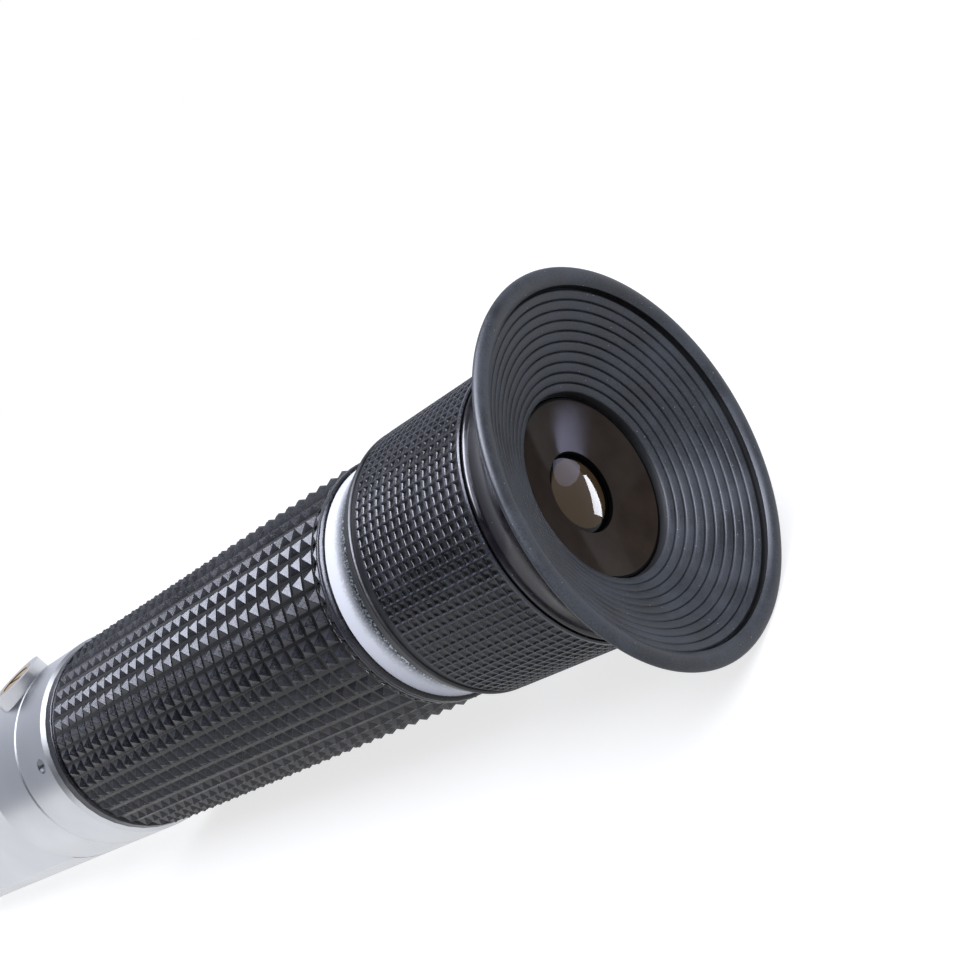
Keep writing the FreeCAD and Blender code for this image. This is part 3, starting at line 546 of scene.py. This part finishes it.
def silver_ring_finish(flange_end):
    material, tree, place = start_material("chromed_ring_blasted_and_shaded")
    parts = add(tree, "SeparateXYZ", links={0: place})
    beads = add(tree, "TexNoise", {"Scale": per(bead_size), "Detail": 2}, {"Vector": place})
    ragged = add(tree, "Math", {"operation": "MULTIPLY_ADD", 1: border_raggedness * mm},
                 {0: beads.outputs["Fac"], 2: parts.outputs["X"]})
    blasted_and_shaded = add(tree, "MapRange",
                  {"From Min": (flange_end + border_start) * mm, "From Max": (flange_end + border_end) * mm},
                  {"Value": ragged.outputs[0]})
    sparkle = add(tree, "MapRange", {"From Min": 0.46, "From Max": 0.66}, {"Value": beads.outputs["Fac"]})
    # Painted shade, partly: the shoulder's grit runs from near-black grey to pale grey, darker than bare
    # blasted metal.
    grit_and_painted_shade = add(tree, "Mix", {"data_type": "RGBA", 6: srgb("#343940"), 7: srgb("#B4BAC2")},
               {0: sparkle.outputs["Result"]})
    tint = add(tree, "Mix", {"data_type": "RGBA", 6: srgb("#DEE1EB")},
               {0: blasted_and_shaded.outputs["Result"], 7: grit_and_painted_shade.outputs[2]})
    bare = add(tree, "MapRange", {"To Min": 0.1, "To Max": 1.0}, {"Value": blasted_and_shaded.outputs["Result"]})
    rough = add(tree, "MapRange", {"To Min": 0.42, "To Max": 0.5}, {"Value": blasted_and_shaded.outputs["Result"]})
    relief = add(tree, "MapRange", {"To Min": 0.04, "To Max": 0.8}, {"Value": blasted_and_shaded.outputs["Result"]})
    bump = add(tree, "Bump", {"Distance": 0.03 * mm},
               {"Height": beads.outputs["Fac"], "Strength": relief.outputs["Result"]})
    end_material(tree, add(tree, "BsdfPrincipled", links={
        "Base Color": tint.outputs[2], "Metallic": bare.outputs["Result"],
        "Roughness": rough.outputs["Result"], "Normal": bump.outputs[0]}))
    return material


ring_finish = silver_ring_finish(grip_rear + flange_length)

# %% [markdown]
# ### Plastic and cement
# The focus ring is black acetal from a spark-eroded mould, which leaves a dull fine texture. The
# dished plate is the same plastic from a mirror-polished mould, so it is glossy and reads brown.
# The bead of cement round the prism is dull and lumpy.

# %% Plastic and cement
def moulded(name, dark, light, rough, level, grain, relief):
    material, tree, place = start_material(name)
    fine = add(tree, "TexNoise", {"Scale": per(grain), "Detail": 3}, {"Vector": place})
    cloud = add(tree, "TexNoise", {"Scale": per(3), "Detail": 3}, {"Vector": place})
    share = add(tree, "MapRange", {"From Min": 0.3, "From Max": 0.7}, {"Value": cloud.outputs["Fac"]})
    tint = add(tree, "Mix", {"data_type": "RGBA", 6: srgb(dark), 7: srgb(light)},
               {0: share.outputs["Result"]})
    spread = add(tree, "MapRange", {"To Min": rough, "To Max": rough * 1.5},
                 {"Value": share.outputs["Result"]})
    bump = add(tree, "Bump", {"Strength": relief, "Distance": 0.02 * mm}, {"Height": fine.outputs["Fac"]})
    end_material(tree, add(tree, "BsdfPrincipled", {"Specular IOR Level": level},
                           {"Base Color": tint.outputs[2], "Roughness": spread.outputs["Result"],
                            "Normal": bump.outputs[0]}))
    return material


finishes["black_plastic"] = moulded("spark_eroded_acetal", "#101114", "#18191D", 0.34, 0.5, 0.15, 0.4)
finishes["prism_cement"] = moulded("black_cement", "#0C0C0D", "#161617", 0.5, 0.4, 0.4, 0.8)
plate.data.materials.append(moulded("polished_brown_acetal", "#362E28", "#40362F", 0.08, 0.04, 3.0, 0.01))
plate.data.materials.append(moulded("matt_black_edges_and_painted_shade", "#060606", "#0C0C0C", 0.6, 0.1, 0.1, 0.2))
# Painted shade, partly: the faces outside the polished ring, the hole wall and the outer edge, get the
# near-black matt finish.
polished_from = hole_r + 0.06
polished_to = plate_r - 0.31
for face in plate.data.polygons:
    x, y, z = face.center / mm
    if not polished_from < math.hypot(y, z) < polished_to:
        face.material_index = 1
print("matt faces of the plate:", sum(f.material_index for f in plate.data.polygons))

# %% [markdown]
# ### Glass and clear plastic
# Optical glass is clear, but a coated eye lens shows the amber of its coating, and the measuring
# prism of such an instrument is dark blue. The daylight plate is clear acrylic with a finely
# frosted underside. A faint cloud in the roughness stands for the film that fingers leave.

# %% Glass
def glass(name, dark, light, rough, ior, through, film=2.5):
    material, tree, place = start_material(name)
    smear = add(tree, "TexNoise", {"Scale": per(film), "Detail": 3}, {"Vector": place})
    share = add(tree, "MapRange", {"From Min": 0.3, "From Max": 0.7}, {"Value": smear.outputs["Fac"]})
    tint = add(tree, "Mix", {"data_type": "RGBA", 6: srgb(dark), 7: srgb(light)},
               {0: share.outputs["Result"]})
    spread = add(tree, "MapRange", {"To Min": rough, "To Max": rough * 2},
                 {"Value": share.outputs["Result"]})
    end_material(tree, add(tree, "BsdfPrincipled", {"IOR": ior, "Transmission Weight": through},
                           {"Base Color": tint.outputs[2], "Roughness": spread.outputs["Result"]}))
    return material


finishes["optical_glass"] = glass("clear_optical_glass", "#E6E2D8", "#F0EEE8", 0.02, 1.52, 1.0)
finishes["prism_glass"] = glass("dark_blue_prism_glass", "#2F4C8C", "#3F60A6", 0.04, 1.7, 0.75)
finishes["clear_acrylic"] = glass("frosted_clear_acrylic", "#DDE3E8", "#EEF2F5", 0.12, 1.49, 0.9, film=6.0)


margin_blur = 0.12


def coated_eye_lens(middle_colour, edge_and_shade_colour, margin_start):
    """The coated lens. Its ground edge is painted black, which shows through its margin; the near-black
    margin is also painted shade for the shadow of the hole wall.
    """
    material, tree, place = start_material("amber_coated_glass")
    flat = add(tree, "VectorMath", {"operation": "MULTIPLY", 1: (0, 1, 1)}, {0: place})
    away = add(tree, "VectorMath", {"operation": "LENGTH"}, {0: flat.outputs[0]})
    # Painted shade, partly: beyond margin_start the tint turns near black.
    margin = add(tree, "MapRange",
                 {"From Min": margin_start * mm, "From Max": (margin_start + margin_blur) * mm},
                 {"Value": away.outputs["Value"]})
    tint = add(tree, "Mix", {"data_type": "RGBA", 6: srgb(middle_colour), 7: srgb(edge_and_shade_colour)},
               {0: margin.outputs["Result"]})
    smear = add(tree, "TexNoise", {"Scale": per(2.5), "Detail": 3}, {"Vector": place})
    spread = add(tree, "MapRange", {"To Min": 0.02, "To Max": 0.05}, {"Value": smear.outputs["Fac"]})
    end_material(tree, add(tree, "BsdfPrincipled", {"IOR": 1.52, "Transmission Weight": 0.1,
                                                     "Specular IOR Level": 0.1},
                           {"Base Color": tint.outputs[2], "Roughness": spread.outputs["Result"]}))
    return material


lens.data.materials.append(coated_eye_lens("#57462F", "#0B0B0B", 3.5))

# %% [markdown]
# Every CAD node that still shows now gets the finish of its slot in the record. The materials are
# assigned to the nodes' slots, and the meshes stay as they are.

# %% Finishes on the CAD nodes
slot_of = {part["node"]: part["material_slot"] for part in frame["record"]["subparts"]}
for name, node in frame["nodes"].items():
    finish = ring_finish if name == "eyepiece_mount" else finishes.get(slot_of[name])
    if finish and not node.hide_render:
        node.data.materials.clear()
        node.data.materials.append(finish)
print("finished nodes:", sum(1 for node in frame["nodes"].values() if not node.hide_render))

# %% [markdown]
# ## Camera, floor and light
# The camera looks into the eyepiece from the front left, as the photo does. Its place and
# directions come from fitting the rim, the plate, the hole and the rings to their ellipses.

# %% Camera
right = Vector((0.64448, 0.36321, -0.673))
ahead = Vector((-0.6651, 0.70049, -0.259)).normalized()
camera_place = Vector((170.81, -89.88, 39.52)) * mm
picture_up = (-ahead).cross(right).normalized()
right = picture_up.cross(-ahead)
camera_data = bpy.data.cameras.new("camera")
camera_data.lens = 48.75
camera_data.clip_start = 0.005
camera_data.clip_end = 20
camera = bpy.data.objects.new("camera", camera_data)
bpy.context.scene.collection.objects.link(camera)
camera.matrix_world = Matrix((
    (right.x, picture_up.x, -ahead.x, camera_place.x),
    (right.y, picture_up.y, -ahead.y, camera_place.y),
    (right.z, picture_up.z, -ahead.z, camera_place.z),
    (0, 0, 0, 1)))
bpy.context.scene.camera = camera

# %% [markdown]
# The instrument rests on the front edge of its flat sole and on the lowest point of the eye cup,
# so the table is a plane through both. The table is white. It glows a little for the camera and
# in reflections, which turns it into a plain white background that still keeps the shadow.

# %% Table
rest_front = Vector((-57.4, 0, -13.0))
rest_rear = Vector((101.2, 0, -20.0))
lean = math.atan2(rest_front.z - rest_rear.z, rest_rear.x - rest_front.x)
bm = bmesh.new()
bmesh.ops.create_grid(bm, x_segments=8, y_segments=8, size=3.0)
bmesh.ops.rotate(bm, verts=bm.verts[:], cent=(0, 0, 0), matrix=Matrix.Rotation(lean, 3, "Y"))
bmesh.ops.translate(bm, verts=bm.verts[:], vec=(rest_front + Vector((0, 0, -0.02))) * mm)
table_mesh = bpy.data.meshes.new("table")
bm.to_mesh(table_mesh)
bm.free()
table = bpy.data.objects.new("table", table_mesh)
bpy.context.scene.collection.objects.link(table)
material, tree, place = start_material("white_table")
path = add(tree, "LightPath")
seen = add(tree, "Math", {"operation": "MAXIMUM"},
           {0: path.outputs["Is Camera Ray"], 1: path.outputs["Is Glossy Ray"]})
seen = add(tree, "Math", {"operation": "MAXIMUM"},
           {0: seen.outputs[0], 1: path.outputs["Is Transmission Ray"]})
far = add(tree, "VectorMath", {"operation": "LENGTH"}, {0: place})
fade = add(tree, "MapRange", {"From Min": 0.12, "From Max": 0.4, "To Min": 0.72, "To Max": 1.1},
           {"Value": far.outputs["Value"]})
lift = add(tree, "Math", {"operation": "MULTIPLY"}, {0: seen.outputs[0], 1: fade.outputs["Result"]})
white = add(tree, "BsdfDiffuse", {"Color": srgb("#B4B4B4")})
glow = add(tree, "Emission", {"Color": srgb("#FFFFFF")}, {"Strength": lift.outputs[0]})
end_material(tree, add(tree, "AddShader", links={0: white.outputs[0], 1: glow.outputs[0]}))
table.data.materials.append(material)

# %% [markdown]
# The world is a white room that is darker on the side where the photographer stands. The camera
# and glass see it white, reflections see it fade towards the dark side, so that black rubber
# keeps its depth, and as light it gives an even, slightly cool fill.

# %% World
fill_light = 0.48
dark_side = 0.1
world = bpy.data.worlds.new("studio")
world.use_nodes = True
bpy.context.scene.world = world
tree = world.node_tree
tree.nodes.clear()
path = add(tree, "LightPath")
clear = add(tree, "Math", {"operation": "MAXIMUM"},
            {0: path.outputs["Is Camera Ray"], 1: path.outputs["Is Transmission Ray"]})
seen = add(tree, "Math", {"operation": "MAXIMUM"}, {0: clear.outputs[0], 1: path.outputs["Is Glossy Ray"]})
way = add(tree, "TexCoord").outputs["Generated"]
behind = add(tree, "VectorMath", {"operation": "DOT_PRODUCT", 1: ahead}, {0: way})
room = add(tree, "MapRange", {"From Min": -0.15, "From Max": 0.65, "To Min": dark_side, "To Max": 1.0},
           {"Value": behind.outputs["Value"]})
glossy = add(tree, "Math", {"operation": "MULTIPLY"},
             {0: path.outputs["Is Glossy Ray"], 1: room.outputs["Result"]})
shown = add(tree, "Math", {"operation": "ADD"}, {0: clear.outputs[0], 1: glossy.outputs[0]})
unseen = add(tree, "Math", {"operation": "SUBTRACT", 0: 1.0}, {1: seen.outputs[0]})
fill = add(tree, "Math", {"operation": "MULTIPLY", 1: fill_light}, {0: unseen.outputs[0]})
strength = add(tree, "Math", {"operation": "ADD"}, {0: shown.outputs[0], 1: fill.outputs[0]})
daylight = add(tree, "Mix", {"data_type": "RGBA", 6: srgb("#EAEEFC"), 7: srgb("#FFFFFF")},
               {0: clear.outputs[0]})
sky = add(tree, "Background", links={"Color": daylight.outputs[2], "Strength": strength.outputs[0]})
add(tree, "OutputWorld", links={"Surface": sky.outputs[0]})

# %% [markdown]
# A large soft box stands at the upper left of the picture. A second lamp just behind it lights
# only the dark pieces and only in reflections, which makes the ridges of the rubber as bright as
# the photo shows them, and a third lights only the silver ring. They stand a centimetre apart,
# because lamps in one place hide one another. Three small cards before the eyepiece are each seen
# by one polished piece: two give the soft grey patch that crosses the plate and the lens, and one
# gives the sharp glint.

# %% Lamps
def soft_box(name, place, subject, upward, width, height, watts, colour, only=(), in_reflections=False):
    """A rectangular lamp that faces its subject. It lights every piece, or only the ones given."""
    toward = (place - subject).normalized()
    side = upward.cross(toward).normalized()
    top = toward.cross(side)
    lamp = bpy.data.lights.new(name, "AREA")
    lamp.shape = "RECTANGLE"
    lamp.size, lamp.size_y = width * mm, height * mm
    lamp.energy = watts
    lamp.color = srgb(colour)[:3]
    lamp_object = bpy.data.objects.new(name, lamp)
    bpy.context.scene.collection.objects.link(lamp_object)
    lamp_object.matrix_world = Matrix(((side.x, top.x, toward.x, place.x * mm),
                                       (side.y, top.y, toward.y, place.y * mm),
                                       (side.z, top.z, toward.z, place.z * mm), (0, 0, 0, 1)))
    lamp_object.visible_camera = False
    lamp_object.visible_diffuse = not in_reflections
    if only:
        lit = bpy.data.collections.new(name + "_lights")
        for piece in only:
            lit.objects.link(piece)
        lamp_object.light_linking.receiver_collection = lit
    print(name, "at", [round(c) for c in place])
    return lamp_object


barrel_middle = Vector((95, 0, 0))
box_way = (right * -0.43 + picture_up * 0.65 - ahead * 0.62).normalized()
box_size = 560
box_distance = 600
box_step = 10
dark_pieces = [grip, net, cup, frame["nodes"]["focus_ring"]]
big_boxes = (("key_box", 2.9, "#F4F6FF", (), False),
             ("sheen_box", 23.0, "#E9EDFF", dark_pieces, True),
             ("ring_box", 3.6, "#FFFFFF", [frame["nodes"]["eyepiece_mount"]], False))
for number, (name, watts, colour, only, in_reflections) in enumerate(big_boxes):
    box_place = barrel_middle + box_way * (box_distance + number * box_step)
    soft_box(name, box_place, barrel_middle, picture_up, box_size, box_size, watts, colour, only,
             in_reflections)

# %% [markdown]
# The cards stand where the mirrored line of sight meets them, just before the eyepiece. They were
# placed by following a ray from the camera to the lens or the plate and on from there.

# %% Cards
lens_middle = Vector((lens_front, 0, 0))
soft_box("glint_card", Vector((98.94, 10.58, -6.3)), lens_middle, Vector((0.183, -0.667, -0.722)), 2.5, 7.6,
         0.0016, "#F4F6FF", [lens], True)
lens_patch = soft_box("lens_card", Vector((99.4, 9.0, 1.2)), lens_middle, Vector((0.51, -0.85, -0.135)),
                      5.4, 9.6, 0.0005, "#C8C8F0", [lens], True)
lens_patch.data.shape = "ELLIPSE"
plate_patch = soft_box("plate_card", Vector((114.53, 18.98, -11.71)), Vector((94.6, 4.4, 4.4)),
                       Vector((0.689, -0.679, 0.258)), 1.2, 9.2, 0.00067, "#C8CCF6", [plate], True)
plate_patch.data.shape = "ELLIPSE"

bpy.context.scene.view_settings.view_transform = "Standard"
